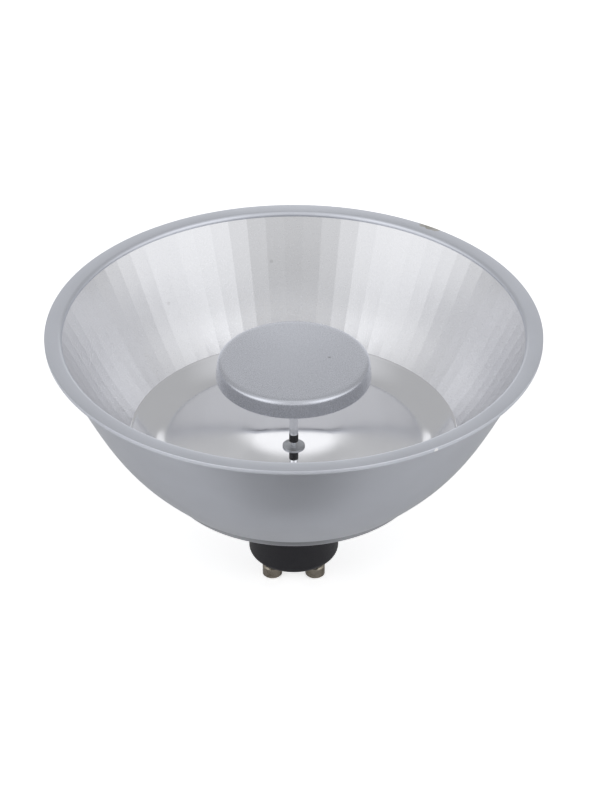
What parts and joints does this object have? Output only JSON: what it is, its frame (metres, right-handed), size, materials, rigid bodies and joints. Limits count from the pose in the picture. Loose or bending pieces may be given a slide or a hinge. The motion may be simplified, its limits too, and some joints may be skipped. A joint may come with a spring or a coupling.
{
  "type": "led spot bulb",
  "caption": "Open reflector spot bulb: silver bowl with a flat rim, faceted reflector, mirror dish, centre glare cap and a black twist-lock pin base.",
  "frame": {"origin": "centre of the base's seating face, midway between the contact pins", "axes": "+Z along the lamp's axis from the base towards the open mouth, X through both pins"},
  "size_m": [0.111, 0.111, 0.068],
  "materials": {
    "bowl_silver": "silver lacquer over spun aluminium",
    "facet_satin": "satin facets with a fine grain",
    "dish_mirror": "polished pan",
    "cap_silver": "silver lacquer",
    "stem_polish": "polished tube",
    "collar_black": "black insulating collar",
    "foot_grey": "dull grey disc",
    "cover_grey": "silver-grey lacquer",
    "base_black": "black moulding",
    "plate_grey": "pale end plate",
    "pin_nickel": "warm nickel plate",
    "screw_steel": "zinc plate",
    "light_board": "white coated board",
    "pad_grey": "soft pad",
    "phosphor": "yellow phosphor package",
    "wire_copper": "enamelled copper wire",
    "wire_red": "insulated wire",
    "driver_green": "coated board",
    "ferrite": "ferrite core",
    "coil_tape": "taped winding",
    "film_box": "moulded box",
    "package_black": "moulded package",
    "fuse_body": "coated body",
    "can_sleeve": "sleeved can"
  },
  "bodies": {
    "root": {"outer_bowl": "bowl_silver", "facet_reflector": "facet_satin", "mirror_dish": "dish_mirror", "glare_cap": "cap_silver", "cap_stem": "stem_polish", "stem_collar": "collar_black", "foot_disc": "foot_grey", "rear_cover": "cover_grey", "base_shell": "base_black", "base_plate": "plate_grey", "contact_pins": "pin_nickel", "cover_screws": "screw_steel", "stem_nut": "screw_steel", "stem_flange": "screw_steel", "led_board": "light_board", "thermal_pad": "pad_grey", "led_chips": "phosphor", "led_leads": "wire_copper", "input_leads": "wire_red", "driver_board": "driver_green", "transformer_core": "ferrite", "transformer_coil": "coil_tape", "film_capacitor": "film_box", "bridge_rectifier": "package_black", "driver_chip": "package_black", "fuse_resistor": "fuse_body", "filter_choke": "ferrite", "bulk_capacitor": "can_sleeve"}
  },
  "joints": []
}
